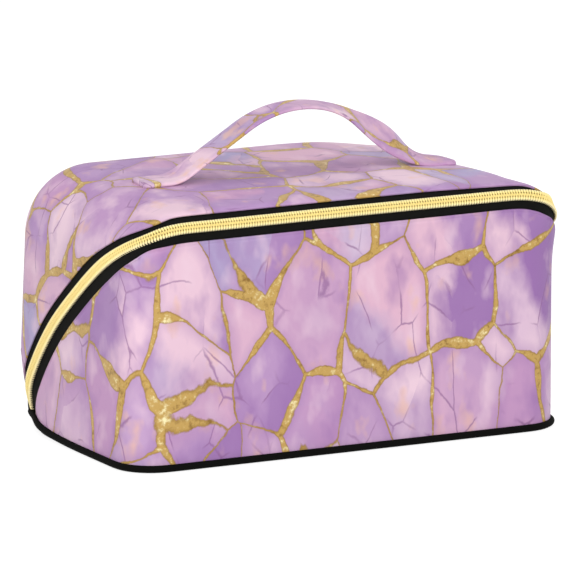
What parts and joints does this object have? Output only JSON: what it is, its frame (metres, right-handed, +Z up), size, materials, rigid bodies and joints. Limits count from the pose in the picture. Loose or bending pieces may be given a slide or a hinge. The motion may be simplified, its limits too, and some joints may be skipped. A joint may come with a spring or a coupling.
{
  "type": "makeup train case",
  "caption": "Soft padded makeup case with a strap handle and a gold zip over both ends and the front; its lid folds back flat from the lower back edge for cosmetics and brushes.",
  "frame": {"origin": "on the ground under the middle of the case's body, at the base panel's outer face", "axes": "+X along the length, to the right seen from the front; +Y to the back; +Z up"},
  "size_m": [0.257, 0.163, 0.1719],
  "materials": {
    "printed_pu": "satin",
    "black_pu": "satin",
    "black_piping": "gloss",
    "black_tape": "matte",
    "gold_coil": "gloss",
    "gold_metal": "polished",
    "stiff_board": "matte",
    "webbing": "matte",
    "foam": "matte",
    "lining": "matte",
    "binding": "matte",
    "holder_pu": "satin",
    "elastic": "matte",
    "hook_and_loop": "matte",
    "divider_cloth": "matte"
  },
  "bodies": {
    "tub": {"tub_shell": "printed_pu", "tub_foam": "foam", "tub_lining": "lining", "tub_binding": "binding", "base_panel": "black_pu", "base_board": "stiff_board", "base_piping": "black_piping", "zipper_tape_lower": "black_tape", "zipper_teeth_lower": "gold_coil", "spine_hinge": "black_pu", "spine_lining": "lining", "loop_strip_front": "hook_and_loop", "loop_strip_floor": "hook_and_loop"},
    "lid": {"lid_shell": "printed_pu", "lid_foam": "foam", "lid_lining": "lining", "lid_binding": "binding", "heel_panel": "black_pu", "lid_piping": "black_piping", "zipper_tape_upper": "black_tape", "zipper_teeth_upper": "gold_coil", "handle_cover": "printed_pu", "handle_core": "stiff_board", "handle_patch_left": "webbing", "handle_patch_right": "webbing", "brush_panel": "holder_pu", "brush_band_left": "elastic", "brush_band_right": "elastic", "flap_root": "holder_pu", "snap_stud": "gold_metal"},
    "flap": {"brush_flap": "holder_pu", "snap_cap": "gold_metal", "snap_socket": "gold_metal"},
    "slider": {"slider_body": "gold_metal", "slider_crown": "gold_metal"},
    "pull": {"pull_tab": "gold_metal"},
    "left_divider": {"divider_left": "divider_cloth", "divider_hooks_left": "hook_and_loop"},
    "right_divider": {"divider_right": "divider_cloth", "divider_hooks_right": "hook_and_loop"}
  },
  "joints": [
    {"name": "lid_swing", "type": "hinge", "parent": "tub", "child": "lid", "pos_m": [0, 0.06887, 0.01113], "axis": [-1, 0, 0], "range_deg": [0, 87], "deforming": ["spine_hinge", "spine_lining"]},
    {"name": "flap_swing", "type": "hinge", "parent": "lid", "child": "flap", "pos_m": [0, 0.06615, 0.09415], "axis": [-1, 0, 0], "range_deg": [0, 90]},
    {"name": "slider_travel", "type": "hinge", "parent": "tub", "child": "slider", "pos_m": [0.125, -0.45426, -0.4971], "axis": [1, 0, 0], "range_deg": [0, 5.3]},
    {"name": "pull_swing", "type": "hinge", "parent": "slider", "child": "pull", "pos_m": [0.12845, 0.0305, 0.04785], "axis": [0, -0.6646, -0.7472], "range_deg": [0, 165]},
    {"name": "divider_left_slide", "type": "slide", "parent": "tub", "child": "left_divider", "axis": [1, 0, 0], "range_m": [-0.018, 0.018]},
    {"name": "divider_right_slide", "type": "slide", "parent": "tub", "child": "right_divider", "axis": [1, 0, 0], "range_m": [-0.018, 0.018]}
  ]
}
